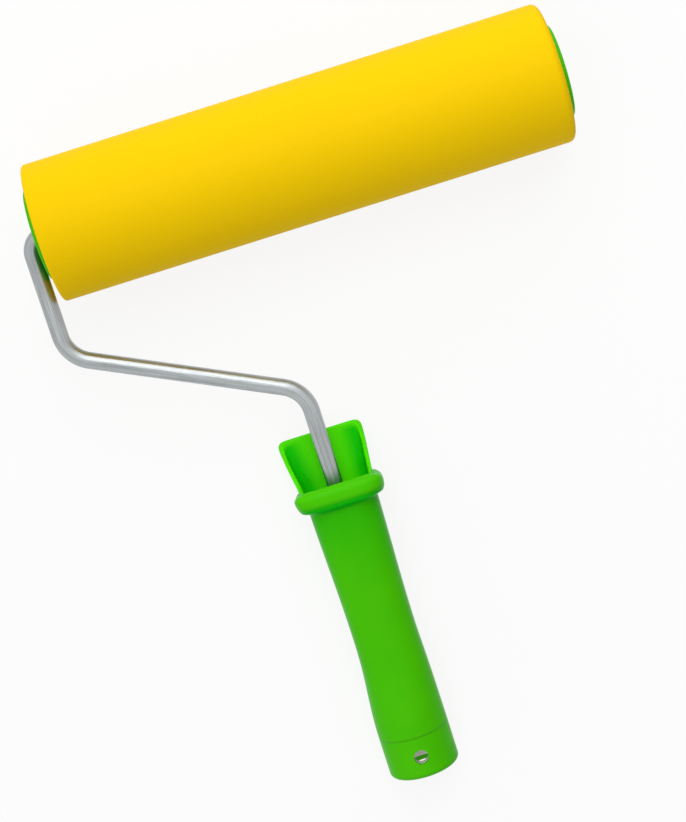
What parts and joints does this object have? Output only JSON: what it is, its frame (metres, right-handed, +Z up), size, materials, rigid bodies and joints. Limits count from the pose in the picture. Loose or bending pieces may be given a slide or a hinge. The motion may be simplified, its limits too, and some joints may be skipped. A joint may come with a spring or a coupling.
{
  "type": "foam rubber pressing roller",
  "caption": "Hand roller with a smooth foam-rubber sleeve turning on a bent wire frame, and a moulded handle with an open scoop and rolled lip.",
  "frame": {"origin": "on the table, under the middle of the tool's box as it lies on its roller and its handle's tail", "axes": "+X along the roller, away from the arm; +Y from the handle to the roller; +Z up"},
  "size_m": [0.1918, 0.2442, 0.048],
  "materials": {
    "foam_rubber": "smooth matte yellow foam rubber",
    "lime_plastic": "glossy lime-green moulded polypropylene",
    "zinc_steel": "bright zinc-plated drawn steel wire",
    "natural_nylon": "natural off-white moulded plastic"
  },
  "bodies": {
    "frame": {"frame_rod": "zinc_steel", "push_nut": "zinc_steel", "grip_shell": "lime_plastic", "rod_socket": "lime_plastic", "pole_socket": "natural_nylon", "tail_collar": "lime_plastic"},
    "roller": {"rubber_sleeve": "foam_rubber", "core_tube": "natural_nylon", "near_end_cap": "lime_plastic", "far_end_cap": "lime_plastic", "far_cap_cover": "lime_plastic", "near_bush": "natural_nylon", "far_bush": "natural_nylon"},
    "near_washer": {"near_thrust_washer": "zinc_steel"},
    "far_washer": {"far_thrust_washer": "zinc_steel"}
  },
  "joints": [
    {"name": "roller_spin", "type": "hinge", "parent": "frame", "child": "roller", "pos_m": [0.00337, 0.09813, 0.024], "axis": [1, 0, 0], "continuous": true},
    {"name": "near_washer_spin", "type": "hinge", "parent": "frame", "child": "near_washer", "pos_m": [-0.08163, 0.09813, 0.024], "axis": [1, 0, 0], "continuous": true},
    {"name": "far_washer_spin", "type": "hinge", "parent": "frame", "child": "far_washer", "pos_m": [0.08837, 0.09813, 0.024], "axis": [1, 0, 0], "continuous": true}
  ]
}
